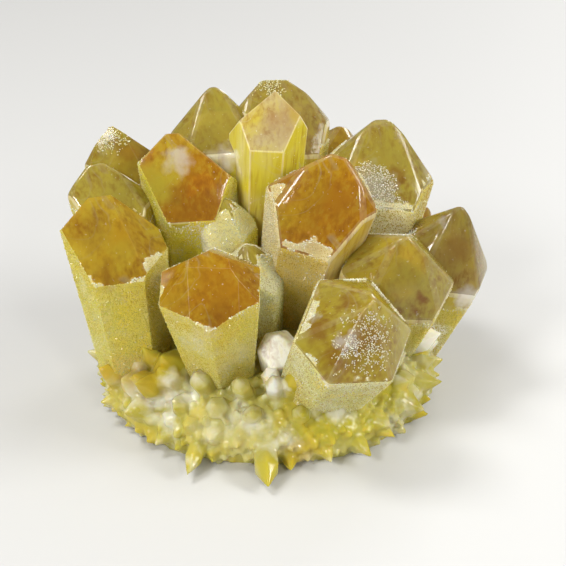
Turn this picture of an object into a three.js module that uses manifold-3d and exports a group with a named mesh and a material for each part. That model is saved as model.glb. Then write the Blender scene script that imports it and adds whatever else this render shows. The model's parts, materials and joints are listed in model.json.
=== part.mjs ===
// A quartz cluster: stout six-sided crystals that fan out of one low mass of small points.
// Units are millimetres and +Z is up. The origin is on the flat underside, below the middle
// of the bounding box. The front is -Y.
import * as THREE from 'three';
import { ConvexGeometry } from 'three/addons/geometries/ConvexGeometry.js';
import { mergeVertices } from 'three/addons/utils/BufferGeometryUtils.js';
import Module from 'manifold-3d';

const wasm = await Module();
wasm.setup();

// ---------------------------------------------------------------- driving dimensions
const capSlope = 51.8;            // degrees between a quartz crystal's axis and a cap face's normal
const sidesOfCrystal = 6;
const steepestSlope = 90;         // a face along the axis
const chamferExtraSlope = 2;      // the shoulder facets lean a little more to the sides
const middleShift = [-3.14, -1.54, 0];   // brings the bounding box's middle over the origin

// Each crystal runs from its foot to the sharp tip that six equal cap faces would make.
// half: middle of the crystal to a side face at the shoulder. turn: degrees that the first
// side is turned from the front. cuts: how far each cap face is moved in from the tip.
// widths: each side's share of half. taper: degrees by which the sides close to the foot.
// chamfer: depth of the facets on the shoulders. facets: further cap faces as [turn, slope, cut].
const crystals = [
  { name: 'front left', tip: [-36.5, -18, 64], foot: [-32, -7.5, 3], half: 10.6, turn: 5,
    widths: [1, 1, 1, 1, 0.97, 1], cuts: [4.5, 3.5, 1, 0, -2, -2.8], taper: 4, chamfer: 0.6,
    facets: [[-20, 12, 4.6]] },
  { name: 'front middle', tip: [-13.5, -35.5, 58.5], foot: [-10, -13.5, 6], half: 11.3, turn: 28,
    slope: 50, cuts: [0, 0, 1.8, 2, 0, 0], taper: 7, chamfer: 0.6,
    facets: [[-22, 46, 2.2], [0, 14, 5]] },
  { name: 'middle left', tip: [-21, 4.5, 72.5], foot: [-18.5, 16.5, 8], half: 10.4, turn: 3,
    widths: [1, 1.1, 1.1, 1, 0.93, 0.93], cuts: [7, 1, 3, 1, 0, 0], taper: 3, chamfer: 0.6 },
  { name: 'middle right', tip: [17, -7.5, 69.5], foot: [6, 8.5, 8], half: 13.2, turn: -12,
    widths: [1, 0.85, 0.8, 1, 1, 1], cuts: [5, 0, 0, 0, 0, 0], taper: 5, chamfer: 0.8,
    facets: [[-60, 14, 3]] },
  { name: 'right', tip: [30.5, 17.5, 69], foot: [20.5, 16.5, 8], half: 13.2, turn: 10,
    cuts: [3, 0, 0, -1, -1, -1], taper: 4, chamfer: 1, facets: [[-90, 10, 3]] },
  { name: 'far right', tip: [48.5, 1.5, 51.5], foot: [33, 12, 4], half: 11.4, turn: 15,
    slope: 56, widths: [1, 1.1, 1, 1, 1, 1], cuts: [2, 0, 0, 0, 0, 0], taper: 5, chamfer: 0.8,
    facets: [[0, 12, 2]] },
  { name: 'low right', tip: [33.5, -16.5, 51], foot: [25, 6, 8], half: 12, turn: 10,
    widths: [1, 1.15, 1.1, 1, 1, 1], cuts: [2, -1, 0, 0, 0, 0], taper: 5, chamfer: 0.6,
    facets: [[0, 14, 1.5]] },
  { name: 'front right', tip: [23.5, -42.5, 49], foot: [10, -15.5, 8], half: 13.5, turn: 20,
    widths: [1, 1, 1, 1, 0.8, 1], cuts: [0, 0, 0, 0, 1.5, 0], taper: 6, chamfer: 0.8 },
  { name: 'tall left', tip: [-13.5, 23, 75.5], foot: [-11.5, 16.5, 8], half: 10.5, turn: 10,
    cuts: [2, 0, 0, 0, 0, 0], taper: 2, chamfer: 0.6 },
  { name: 'tall middle', tip: [2, 14, 76], foot: [-1.5, 16.5, 8], half: 9.5, turn: 0,
    widths: [1, 0.75, 0.8, 1, 1, 1], cuts: [0, -3.5, 0, -3.5, 0, -3.5], taper: 2 },
  { name: 'tall back', tip: [4.5, 30, 76.5], foot: [3, 16.5, 8], half: 11.6, turn: 20,
    widths: [1, 0.95, 0.95, 1, 1, 1], cuts: [4, 0, 0, 0, -2.5, -2.5], taper: 3, chamfer: 1,
    facets: [[0, 12, 2.8]] },
  { name: 'far left', tip: [-38.5, 24, 64.5], foot: [-25, 16.5, 8], half: 9.6, turn: 0,
    widths: [1, 0.9, 0.9, 1, 1, 1], cuts: [2, 1.5, 1.5, 0, -1, -2], taper: 3, chamfer: 0.6,
    facets: [[0, 12, 2]] },
  { name: 'left', tip: [-41, 7, 62.5], foot: [-30.5, 6, 4], half: 10, turn: 10,
    widths: [1, 1, 1, 1, 0.88, 0.88], cuts: [4, 1, 1, 0, -1.5, -1.5], taper: 3, chamfer: 0.6,
    facets: [[0, 12, 2.5]] },
  { name: 'back right', tip: [20, 46, 57], foot: [10, 18, 8], half: 11, turn: 0,
    cuts: [0, 0, 0, 3, 0, 0], taper: 4, chamfer: 0.8, facets: [[180, 12, 2.5]] },
  { name: 'back left', tip: [-24, 44, 51], foot: [-12, 18, 8], half: 11.5, turn: 14,
    cuts: [0, 0, 0, 0, 2.5, 0], taper: 4, chamfer: 0.7, facets: [[150, 14, 2.5]] },
  { name: 'low back', tip: [-2, 53, 40], foot: [-1, 18, 7], half: 9.5, turn: 22,
    cuts: [0, 0, 2, 0, 0, 0], taper: 4, chamfer: 0.6 },
  { name: 'low back right', tip: [43, 36, 37], foot: [22, 16, 7], half: 10, turn: 8,
    cuts: [0, 0, 0, 2, 0, 0], taper: 4, chamfer: 0.6 },
  { name: 'centre', tip: [-4, -12, 48], foot: [-3, -3, 6], half: 7.5, turn: 12,
    cuts: [0, 2, 0, 0, 0, 0], taper: 3, chamfer: 0.4 },
  { name: 'between the middles', tip: [-10.5, 1, 54], foot: [-8, 9, 8], half: 6.8, turn: 2,
    cuts: [2, 1, 0, 0, 0, 0], taper: 2, chamfer: 0.4 },
  { name: 'between the fronts', tip: [2.5, -28, 31], foot: [4, -13, 6], half: 4.6, turn: 6,
    cuts: [1, 0, 0, 0, 0, 0], taper: 2, chamfer: 0.3 },
  { name: 'low back left', tip: [-46, 27, 36], foot: [-24, 14, 7], half: 10, turn: -8,
    cuts: [0, 0, 0, 0, 2, 0], taper: 4, chamfer: 0.6 },
];

// The mass that the crystals grow from: a low lumpy disc. Each pair is a radius and a height.
const massProfile = [[0, 0], [36, 0], [39.2, 4], [39.4, 8], [36.5, 12], [30.5, 15.5], [18, 19], [0, 21]];
const massSegments = 40;
const massStretch = [1.06, 1.0, 1];
const massMiddle = [0, 2, 0];
const lumpDepth = 0.035;          // share of the radius
const lumpWaves = [5, 8, 13];     // lumps around the mass, from broad to narrow

// Small points stand on the mass in rows, from the lowest to the highest.
const pointRows = [
  { count: 54, height: 2.2, rise: [-4, 14], length: [10.5, 13.8], half: [1.6, 2.5] },
  { count: 48, height: 5.5, rise: [8, 28], length: [10, 13.4], half: [1.7, 2.7] },
  { count: 40, height: 9, rise: [22, 46], length: [10, 13.5], half: [1.8, 3] },
  { count: 28, height: 12, rise: [40, 66], length: [12, 17], half: [2.2, 3.6] },
];
const pointDepth = 8;             // how far inside the mass a point starts
const pointShoulder = 0.72;       // the share of a point's length that is a prism
const pointWander = 5;            // degrees that a point leaves its even place in the row
const pointSeed = 41;

// Larger points that reach out of the rows: tip, foot and half width.
const largePoints = [
  { tip: [0.5, -48.8, 2.4], foot: [-1, -28, 7], half: 3.2 },
  { tip: [-18.5, -43.8, 2.4], foot: [-14, -26, 7], half: 2.3 },
  { tip: [-31.5, -28.5, 18.5], foot: [-20, -16, 8], half: 3.2 },
  { tip: [-25, -25, 24], foot: [-18, -12, 5], half: 5.2 },
  { tip: [-34.5, -28.5, 10], foot: [-22, -16, 6], half: 3.4 },
  { tip: [-46, -3.5, 13], foot: [-28, -1, 6], half: 3 },
  { tip: [-41.5, -18, 6.5], foot: [-24, -9, 6], half: 3.1 },
  { tip: [38.5, -23, 7.5], foot: [22, -12, 7], half: 3.9 },
  { tip: [43.5, -14.5, 10.5], foot: [24, -8, 6], half: 3.3 },
  { tip: [43.5, -2, 15], foot: [26, 0, 8], half: 4 },
  { tip: [31, -31.5, 5], foot: [18, -18, 6], half: 2.2 },
  { tip: [25, -37.5, 3.2], foot: [16, -22, 6], half: 2.1 },
  { tip: [15.5, -40, 3.2], foot: [10, -24, 6], half: 2.1 },
  { tip: [-41, -19, 17], foot: [-30, -9, 6], half: 3.4 },
  { tip: [-35, -24.5, 17], foot: [-26, -12, 6], half: 3.6 },
  { tip: [-27, -33, 3.6], foot: [-17, -19, 6], half: 2.5 },
  { tip: [47, 8, 11], foot: [28, 6, 6], half: 3.4 },
  { tip: [-46, 12, 9], foot: [-28, 8, 6], half: 3.3 },
  { tip: [30, 45, 8], foot: [18, 26, 6], half: 3.6 },
  { tip: [-33, 43, 7], foot: [-20, 26, 6], half: 3.4 },
  { tip: [4, 50, 6], foot: [2, 30, 6], half: 3.5 },
];

const floorBlock = [200, 200, 40];

// ---------------------------------------------------------------- helpers
const radians = THREE.MathUtils.degToRad;
const vector = ([x, y, z]) => new THREE.Vector3(x, y, z);

// Random numbers from 0 to 1 that are the same in every run.
function seededRandom(seed) {
  let state = seed;
  return () => {
    state = (state * 1664525 + 1013904223) % 4294967296;
    return state / 4294967296;
  };
}

// A closed geometry with shared vertices becomes a solid that can be joined and cut.
function toSolid(geometry) {
  const bare = geometry.clone();
  bare.deleteAttribute('normal');
  bare.deleteAttribute('uv');
  const merged = mergeVertices(bare, 1e-4);
  return new wasm.Manifold(new wasm.Mesh({
    numProp: 3,
    vertProperties: new Float32Array(merged.attributes.position.array),
    triVerts: new Uint32Array(merged.index.array),
  }));
}

function toGeometry(solid) {
  const mesh = solid.getMesh();
  const geometry = new THREE.BufferGeometry();
  geometry.setAttribute('position', new THREE.BufferAttribute(mesh.vertProperties, 3));
  geometry.setIndex(new THREE.BufferAttribute(mesh.triVerts, 1));
  const flat = geometry.toNonIndexed();
  flat.computeVertexNormals();
  return flat;
}

// Three directions of a crystal: along it, to its front, and to its right.
function crystalFrame(tip, foot) {
  const along = tip.clone().sub(foot).normalize();
  const front = new THREE.Vector3(0, -1, 0);
  front.addScaledVector(along, -front.dot(along)).normalize();
  const right = new THREE.Vector3().crossVectors(along, front);
  return { along, front, right };
}

// The plane whose normal is turned around the crystal and sloped away from its axis.
function facePlane({ along, front, right }, turn, slope, point) {
  const outward = front.clone().multiplyScalar(Math.cos(turn));
  outward.addScaledVector(right, Math.sin(turn));
  const normal = along.clone().multiplyScalar(Math.cos(slope));
  normal.addScaledVector(outward, Math.sin(slope));
  return new THREE.Plane().setFromNormalAndCoplanarPoint(normal, point);
}

// Every corner of the solid that lies behind all of the planes.
function cornersBehind(planes) {
  const corners = [];
  const matrix = new THREE.Matrix3();
  const near = 1e-6;
  for (let i = 0; i < planes.length; i += 1) {
    for (let j = i + 1; j < planes.length; j += 1) {
      for (let k = j + 1; k < planes.length; k += 1) {
        const [a, b, c] = [planes[i], planes[j], planes[k]];
        matrix.set(...a.normal.toArray(), ...b.normal.toArray(), ...c.normal.toArray());
        if (Math.abs(matrix.determinant()) < near) continue;
        const corner = new THREE.Vector3(-a.constant, -b.constant, -c.constant);
        corner.applyMatrix3(matrix.invert());
        if (planes.every((plane) => plane.distanceToPoint(corner) < near)) corners.push(corner);
      }
    }
  }
  return corners;
}

// ---------------------------------------------------------------- pieces
// One crystal: six side faces, six cap faces, the shoulder facets and a flat foot.
function crystal(spec) {
  const { half, turn, taper, chamfer = 0, slope = capSlope, facets = [] } = spec;
  const { widths = [1, 1, 1, 1, 1, 1], cuts = [0, 0, 0, 0, 0, 0] } = spec;
  const tip = vector(spec.tip);
  const foot = vector(spec.foot);
  const frame = crystalFrame(tip, foot);
  const capAngle = radians(slope);
  const shoulder = tip.clone().addScaledVector(frame.along, -half * Math.tan(capAngle));
  const planes = [new THREE.Plane().setFromNormalAndCoplanarPoint(frame.along.clone().negate(), foot)];
  for (let side = 0; side < sidesOfCrystal; side += 1) {
    const angle = radians(turn) + side * Math.PI / 3;
    const cap = facePlane(frame, angle, capAngle, tip);
    cap.constant += cuts[side];
    planes.push(cap);
    const width = widths[side] * half;
    const outward = facePlane(frame, angle, Math.PI / 2, tip).normal;
    const onSide = shoulder.clone().addScaledVector(outward, width);
    planes.push(facePlane(frame, angle, Math.PI / 2 + radians(taper), onSide));
    if (chamfer > 0) {
      const drop = width * Math.tan(capAngle) + cuts[side] / Math.cos(capAngle);
      const edge = tip.clone().addScaledVector(frame.along, -drop).addScaledVector(outward, width);
      const chamferSlope = radians((slope + steepestSlope) / 2 + chamferExtraSlope);
      const facet = facePlane(frame, angle, chamferSlope, edge);
      facet.constant += chamfer;
      planes.push(facet);
    }
  }
  for (const [facetTurn, facetSlope, cut] of facets) {
    const face = facePlane(frame, radians(turn + facetTurn), radians(facetSlope), tip);
    face.constant += cut;
    planes.push(face);
  }
  return toSolid(new ConvexGeometry(cornersBehind(planes)));
}

// One small point: a six-sided prism with a pyramid on it.
function smallPoint(foot, tip, half, turn) {
  const frame = crystalFrame(tip, foot);
  const length = tip.distanceTo(foot);
  const corners = [tip];
  for (const share of [0, pointShoulder]) {
    for (let side = 0; side < sidesOfCrystal; side += 1) {
      const angle = turn + side * Math.PI / 3;
      const corner = foot.clone().addScaledVector(frame.along, share * length);
      corner.addScaledVector(frame.front, half * Math.cos(angle));
      corner.addScaledVector(frame.right, half * Math.sin(angle));
      corners.push(corner);
    }
  }
  return toSolid(new ConvexGeometry(corners));
}

// The radius of the mass at a height, from the straight stretch of its profile there.
function massRadius(height) {
  const upper = massProfile.findIndex(([, z]) => z > height);
  const [outer, low] = massProfile[upper - 1];
  const [inner, high] = massProfile[upper];
  return outer + (inner - outer) * (height - low) / (high - low);
}

function mass() {
  const outline = massProfile.map(([radius, height]) => new THREE.Vector2(radius, height));
  const geometry = new THREE.LatheGeometry(outline, massSegments);
  geometry.rotateX(Math.PI / 2);
  const place = geometry.attributes.position;
  for (let i = 0; i < place.count; i += 1) {
    const angle = Math.atan2(place.getY(i), place.getX(i));
    const height = place.getZ(i);
    let lump = 1;
    for (const waves of lumpWaves) {
      lump += lumpDepth * Math.sin(waves * angle + height * waves / 20) / lumpWaves.length;
    }
    place.setXY(i, place.getX(i) * lump, place.getY(i) * lump);
  }
  geometry.scale(...massStretch);
  geometry.translate(...massMiddle);
  return toSolid(geometry);
}

function rowOfPoints(row, random) {
  const between = ([low, high]) => low + (high - low) * random();
  const radius = massRadius(row.height) - pointDepth;
  const points = [];
  for (let i = 0; i < row.count; i += 1) {
    const angle = 2 * Math.PI * i / row.count + radians(pointWander) * (2 * random() - 1);
    const heading = angle + radians(pointWander) * 2 * (2 * random() - 1);
    const rise = radians(between(row.rise));
    const foot = new THREE.Vector3(radius * Math.cos(angle), radius * Math.sin(angle), row.height);
    foot.multiply(vector(massStretch)).add(vector(massMiddle));
    const along = new THREE.Vector3(
      Math.cos(heading) * Math.cos(rise),
      Math.sin(heading) * Math.cos(rise),
      Math.sin(rise),
    );
    const tip = foot.clone().addScaledVector(along, between(row.length));
    points.push(smallPoint(foot, tip, between(row.half), random() * Math.PI));
  }
  return points;
}

function cluster() {
  const random = seededRandom(pointSeed);
  const solids = [mass()];
  for (const spec of crystals) solids.push(crystal(spec));
  for (const row of pointRows) solids.push(...rowOfPoints(row, random));
  for (const { tip, foot, half } of largePoints) {
    solids.push(smallPoint(vector(foot), vector(tip), half, random() * Math.PI));
  }
  const below = new THREE.BoxGeometry(...floorBlock);
  below.translate(0, 0, -floorBlock[2] / 2);
  const joined = solids.reduce((sum, solid) => sum.add(solid)).subtract(toSolid(below));
  const geometry = toGeometry(joined);
  geometry.translate(...middleShift);
  return geometry;
}

// ---------------------------------------------------------------- the part
const quartz = new THREE.MeshStandardMaterial({ color: 0xc9a13a, roughness: 0.2, metalness: 0 });
const quartzCluster = new THREE.Mesh(cluster(), quartz);
quartzCluster.name = 'quartz_cluster';

const part = new THREE.Group();
part.add(quartzCluster);

export default part;
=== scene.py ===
import json
import math
from contextlib import contextmanager
from dataclasses import dataclass

import bpy
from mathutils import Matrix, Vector

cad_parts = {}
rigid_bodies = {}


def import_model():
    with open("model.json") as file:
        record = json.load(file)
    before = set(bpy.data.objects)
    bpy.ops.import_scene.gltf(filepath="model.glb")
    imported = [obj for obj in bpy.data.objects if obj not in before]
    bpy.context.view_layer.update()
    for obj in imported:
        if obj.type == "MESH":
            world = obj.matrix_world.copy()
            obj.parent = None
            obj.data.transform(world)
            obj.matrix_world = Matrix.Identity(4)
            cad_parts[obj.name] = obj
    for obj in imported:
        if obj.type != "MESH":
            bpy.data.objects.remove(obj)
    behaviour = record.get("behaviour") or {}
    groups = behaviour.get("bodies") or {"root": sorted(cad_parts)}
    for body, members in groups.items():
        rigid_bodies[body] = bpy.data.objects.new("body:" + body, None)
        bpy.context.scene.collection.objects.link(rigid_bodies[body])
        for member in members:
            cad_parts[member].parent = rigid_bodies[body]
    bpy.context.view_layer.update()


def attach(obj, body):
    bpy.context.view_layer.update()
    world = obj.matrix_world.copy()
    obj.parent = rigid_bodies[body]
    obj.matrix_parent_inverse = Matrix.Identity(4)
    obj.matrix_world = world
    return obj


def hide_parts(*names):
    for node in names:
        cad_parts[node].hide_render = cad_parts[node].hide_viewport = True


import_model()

bl_info = {
    "name": "Quartz Cluster",
    "version": (1, 0, 0),
    "blender": (4, 5, 0),
    "location": "View3D > Sidebar > Quartz",
    "description": "Amber quartz crystals with druse on their sides, grown from one low mass",
    "category": "Add Mesh",
}

MM = 0.001
BODY = "root"
NODE = "quartz_cluster"
CAP_SLOPE = 51.8
SIDE_COUNT = 6
SIDE_SLOPE = 68        # a face sloped further than this from the axis is a side, and no cap face
FLAT_ENOUGH = 0.9992   # the least cosine between a crystal's plane and a face that lies in it
BARE_BASE = -0.2       # the crust value of the base, too low for any druse
MASS_MARK = 100
WHITE_MARK = 101
FEET_TOP = 24          # the height below which the crystals take on the base's colours
FEET_FADE = 14
FEET_SHARE = 0.8
RIM_START = 33.6       # how far from the middle the base turns to straw
RIM_FADE = 14
MIDDLE_SHIFT = Vector((-3.14, -1.54, 0.0))    # brings the middle of the box over the origin


# ---------------------------------------------------------------- the crystals
@dataclass
class Crystal:
    """One large crystal, in millimetres and degrees, as it stands in the solid."""

    name: str
    tip: Vector
    foot: Vector
    half: float
    turn: float
    widths: tuple = ()           # how far out its sides stand, as shares of the half width
    cuts: tuple = ()             # how far back its cap faces are set
    slope: float = CAP_SLOPE
    taper: float = 4
    facets: tuple = ()           # further cap faces: turn, slope and cut
    worn: float = 1.2            # width of the worn band along its edges
    cap: str = "amber"           # the colour of its cap
    glow: str = "honey"          # the colour where its cap lets light through
    side: str = "straw"          # the colour of its sides
    clear: float = 0.6           # how see-through its cap is
    bare: float = 0              # how far its sides are bare below the cap before the druse starts
    creep: float = 0             # how far the druse reaches up its cap
    glitter: float = 0.2         # how strongly its druse is speckled with painted glints and painted shade
    lit: tuple = ()              # the sides whose cap face shows the glowing colour
    smooth: tuple = ()           # the sides with no druse
    hoary: tuple = ()            # the sides with paler druse

    def __post_init__(self):
        # The sides that no width or cut is given for stand at the half width, uncut.
        self.widths = [*self.widths, *[1] * SIDE_COUNT][:SIDE_COUNT]
        self.cuts = [*self.cuts, *[0] * SIDE_COUNT][:SIDE_COUNT]
        self.tip = Vector(self.tip) + MIDDLE_SHIFT
        self.foot = Vector(self.foot) + MIDDLE_SHIFT
        self.along = (self.tip - self.foot).normalized()
        front = Vector((0, -1, 0))
        self.front = (front - self.along * front.dot(self.along)).normalized()
        self.right = self.along.cross(self.front)
        cap_height = self.half * math.tan(math.radians(self.slope))
        self.shoulder = self.tip - self.along * cap_height
        self.normals = [normal for point, normal in self.planes()]

    def outward(self, turn, slope):
        """The direction turned round the crystal and sloped away from its axis."""
        around = self.front * math.cos(turn) + self.right * math.sin(turn)
        return self.along * math.cos(slope) + around * math.sin(slope)

    def planes(self):
        """A point and an outward normal for every face."""
        found = [(self.foot, -self.along)]
        cap = math.radians(self.slope)
        for side in range(SIDE_COUNT):
            turn = math.radians(self.turn) + side * math.pi / 3
            normal = self.outward(turn, cap)
            found.append((self.tip - normal * self.cuts[side], normal))
            level = self.outward(turn, math.pi / 2)
            width = self.widths[side] * self.half
            lean = self.outward(turn, math.pi / 2 + math.radians(self.taper))
            found.append((self.shoulder + level * width, lean))
        for turn, slope, cut in self.facets:
            normal = self.outward(math.radians(self.turn + turn), math.radians(slope))
            found.append((self.tip - normal * cut, normal))
        return found

    def edge_depth(self, side):
        """How far below the tip a cap face ends, along the crystal."""
        cap = math.radians(self.slope)
        return self.widths[side] * self.half * math.tan(cap) + self.cuts[side] / math.cos(cap)

    def is_worn(self, normal):
        """Whether a face lies on a rounded edge, and so in none of the crystal's planes."""
        return all(normal.dot(flat) < FLAT_ENOUGH for flat in self.normals)

    def side_of(self, normal):
        """The number of the side that a face belongs to, counted from the front."""
        turn = math.atan2(normal.dot(self.right), normal.dot(self.front))
        return round((turn - math.radians(self.turn)) / (math.pi / 3)) % SIDE_COUNT


CRYSTALS = [
    Crystal("front_left", (-36.5, -18, 64), (-32, -7.5, 3), 10.6, 5, widths=(1, 1, 1, 1, 0.97),
            cuts=(4.5, 3.5, 1, 0, -2, -2.8), facets=[(-20, 12, 4.6)], lit=(5,), creep=0.8),
    Crystal("front_middle", (-13.5, -35.5, 58.5), (-10, -13.5, 6), 11.3, 28, slope=50, taper=7,
            cuts=(0, 0, 1.8, 2), facets=[(-22, 46, 2.2), (0, 14, 5)], cap="orange", glow="amber",
            clear=0.55),
    Crystal("middle_left", (-21, 4.5, 72.5), (-18.5, 16.5, 8), 10.4, 3, taper=3,
            widths=(1, 1.1, 1.1, 1, 0.93, 0.93), cuts=(7, 1, 3, 1), cap="orange", side="lemon",
            clear=0.55, lit=(5,)),
    Crystal("middle_right", (17, -7.5, 69.5), (6, 8.5, 8), 13.2, -12, taper=5,
            widths=(1, 0.85, 0.8), cuts=(5,), facets=[(-60, 14, 3)], cap="orange", glow="amber",
            side="russet", clear=0.55, glitter=0.7, creep=2.4, smooth=(1,), hoary=(5,)),
    Crystal("right", (30.5, 17.5, 69), (20.5, 16.5, 8), 13.2, 10, cuts=(3, 0, 0, -1, -1, -1),
            facets=[(-90, 10, 3)], cap="olive", glow="straw", bare=-2, glitter=1),
    Crystal("far_right", (48.5, 1.5, 51.5), (33, 12, 4), 11.4, 15, slope=56, taper=5,
            widths=(1, 1.1), cuts=(2,), facets=[(0, 12, 2)], cap="brown", glow="olive", clear=0.7,
            bare=4),
    Crystal("low_right", (33.5, -16.5, 51), (25, 6, 8), 12, 10, taper=5, bare=3, cap="olive",
            widths=(1, 1.15, 1.1), cuts=(2, -1), facets=[(0, 14, 1.5)]),
    Crystal("front_right", (23.5, -42.5, 49), (10, -15.5, 8), 13.5, 20, taper=6,
            widths=(1, 1, 1, 1, 0.8), cuts=(0, 0, 0, 0, 1.5), cap="umber", glow="olive",
            side="sage", clear=0.5, glitter=1),
    Crystal("tall_left", (-13.5, 23, 75.5), (-11.5, 16.5, 8), 10.5, 10, cuts=(2,), taper=2,
            cap="olive", glow="straw", side="lemon", bare=10),
    # Its cap is painted pale and only a little see-through: a painted reflection of the light on its
    # front cap face.
    Crystal("tall_middle", (2, 14, 76), (-1.5, 16.5, 8), 9.5, 0, widths=(1, 0.75, 0.8),
            cuts=(0, -3.5, 0, -3.5, 0, -3.5), taper=2, cap="pale", glow="straw", side="lemon",
            clear=0.3, bare=30),
    Crystal("tall_back", (4.5, 30, 76.5), (3, 16.5, 8), 11.6, 20, taper=3, widths=(1, 0.95, 0.95),
            cuts=(4, 0, 0, 0, -2.5, -2.5), facets=[(0, 12, 2.8)], cap="brown", glow="straw",
            bare=7),
    Crystal("far_left", (-38.5, 24, 64.5), (-25, 16.5, 8), 9.6, 0, taper=3, widths=(1, 0.9, 0.9),
            cuts=(2, 1.5, 1.5, 0, -1, -2), facets=[(0, 12, 2)], cap="umber", glow="olive", bare=5),
    Crystal("left", (-41, 7, 62.5), (-30.5, 6, 4), 10, 10, taper=3, cap="olive", glow="straw",
            widths=(1, 1, 1, 1, 0.88, 0.88), cuts=(4, 1, 1, 0, -1.5, -1.5), facets=[(0, 12, 2.5)],
            bare=4),
    Crystal("back_right", (20, 46, 57), (10, 18, 8), 11, 0, cuts=(0, 0, 0, 3),
            facets=[(180, 12, 2.5)]),
    Crystal("back_left", (-24, 44, 51), (-12, 18, 8), 11.5, 14, cuts=(0, 0, 0, 0, 2.5),
            facets=[(150, 14, 2.5)], cap="orange", glow="amber"),
    Crystal("low_back", (-2, 53, 40), (-1, 18, 7), 9.5, 22, cuts=(0, 0, 2)),
    Crystal("low_back_right", (43, 36, 37), (22, 16, 7), 10, 8, cuts=(0, 0, 0, 2), cap="orange",
            glow="olive"),
    Crystal("centre", (-4, -12, 48), (-3, -3, 6), 7.5, 12, cuts=(0, 2), taper=3, cap="straw",
            glow="straw", side="sage", bare=-9, glitter=0.8),
    Crystal("between_the_middles", (-10.5, 1, 54), (-8, 9, 8), 6.8, 2, cuts=(2, 1), taper=2,
            cap="lemon", glow="straw", side="lemon", bare=-9, hoary=(0, 5)),
    Crystal("between_the_fronts", (2.5, -28, 31), (4, -13, 6), 4.6, 6, cuts=(1,), taper=2,
            cap="milky", glow="milky", side="milky", clear=0.0, bare=40),
    Crystal("low_back_left", (-46, 27, 36), (-24, 14, 7), 10, -8, cuts=(0, 0, 0, 0, 2)),
]

# Places where grains also grow on a cap: middle, reach, how gappy and how white, the first three
# in millimetres.
SPARKLING = [
    ((22.5, -43.3, 37), 6.5, 27, 0.4),      # the cap of front_right, with three whiter spots
    ((19.2, -44.4, 38.4), 2.3, 5, 0.8),
    ((18.6, -44.8, 35.8), 2.3, 5, 0.8),
    ((23.2, -42.9, 43.6), 1.8, 5, 0.8),
    ((-39.5, 22.7, 60.1), 4, 16, 0.2),      # the broken tip of far_left
    ((0.6, 29.4, 72.1), 4, 16, 0.2),        # the broken tip of tall_back
    ((25.8, 7.1, 52.6), 7.2, 4, 0.75),      # two patches across right
    ((29.9, 4.8, 44.9), 7.5, 5, 0.75),
]

# Patches of another colour inside the crystals and the base: middle, reach, colour and strength.
STAINS = [
    ((-22.2, 6.6, 61.5), 4.4, "milky", 0.5),
    ((-27.3, 3.3, 55.5), 7, "lemon", 0.75),
    ((-17.6, 1.8, 52.2), 8, "rust", 0.35),
    ((32.2, 10.7, 54.7), 3, "rust", 0.55),
    ((36.3, -17, 33.2), 2.6, "rust", 0.8),
    ((40.6, -0.4, 16.1), 5.5, "milky", 0.85),
    ((18, -44.5, 37.7), 3, "milky", 0.7),
    ((10.4, -36.7, 39.8), 2.2, "milky", 0.5),
    ((26.6, -39.5, 41.3), 4.5, "lemon", 0.6),
    ((24.5, -34.7, 45.6), 3.4, "lemon", 0.6),
    ((31.9, -32, 34.6), 4, "lemon", 0.55),
    ((12, -40, 39.5), 4.4, "rust", 0.65),
    ((16, -44.5, 33.5), 5, "rust", 0.6),
    ((17, -38, 45), 3.4, "rust", 0.55),
    ((22.5, -43.3, 38), 6.5, "rust", 0.6),
    ((-40.4, -18.4, 54.1), 5.5, "rust", 0.45),
    ((-37.3, -23.9, 43.9), 3.4, "rust", 0.5),
    ((-33.9, -21.3, 48.5), 5, "lemon", 0.35),
    ((-45.6, -17.8, 45), 5, "lemon", 0.65),
    ((-10.6, -39.6, 41.8), 5.5, "rust", 0.4),
    ((15, -8, 56.5), 9, "rust", 0.3),
    ((10.8, -12.7, 45.7), 4.5, "rust", 0.35),
    ((46.9, -0.7, 39.9), 5.5, "rust", 0.45),
    ((42.8, 1.7, 47.5), 2.2, "milky", 0.6),
    ((50.3, -2.6, 27.6), 4.5, "milky", 0.75),
    ((1.9, 8.9, 69), 5, "rust", 0.3),
    ((-10.5, 11.6, 59.2), 4.5, "milky", 0.6),
    ((-33.5, 20, 57.9), 6, "rust", 0.5),
    ((5.6, 11.2, 72), 5, "rust", 0.3),
    ((25.8, 7.1, 52.6), 7.5, "sugar", 0.6),
    ((29.9, 4.8, 44.9), 7.5, "sugar", 0.5),
    ((0.7, 5.5, 55.9), 10, "moss", 0.3),
    ((-12.1, -33.6, 11.4), 9, "sugar", 0.15),
    ((-3.8, -37.8, 8.5), 9, "sugar", 0.15),
    ((-27.9, -23.9, 17.9), 8, "amber", 0.45),
    ((-0.3, -45.3, 5.1), 7, "moss", 0.6),
    ((1.3, -34.2, 19.9), 5, "milky", 0.95),
    ((-35.7, -18.6, 16.7), 8, "amber", 0.5),
    ((7.9, -36.5, 4.3), 6, "amber", 0.4),
]
DRUSE_STAINS = [
    ((-19.6, -25.8, 22.6), 9, "amber", 0.5),
    # Painted light: lemon lifts the shaded lower front of middle_right, between front_middle and
    # front_right.
    ((8, -7.6, 26.9), 10, "lemon", 0.5),
    ((-38, -22, 36), 7, "lemon", 0.5),
    ((10, -32, 30), 7, "milky", 0.6),
    ((-14, 2, 44), 7, "milky", 0.6),
    ((-21, -36.8, 44.9), 9, "amber", 0.3),
]

# The mass that they grow from, as radius and height, and its rows of small points.
MASS_PROFILE = [(36, 0), (39.2, 4), (39.4, 8), (36.5, 12), (30.5, 15.5), (18, 19), (0, 21)]
MASS_SEGMENTS = 40
LEAST_SHARE = 0.02     # of the ring below, so that the top one keeps a little width
MASS_SUNK = 3          # how far below the floor it starts, before it is cut off flat
MASS_STRETCH = (1.06, 1.0)
MASS_MIDDLE = Vector((0, 2, 0))
LUMP_DEPTH = 0.035
LUMP_WAVES = (5, 8, 13)

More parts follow.
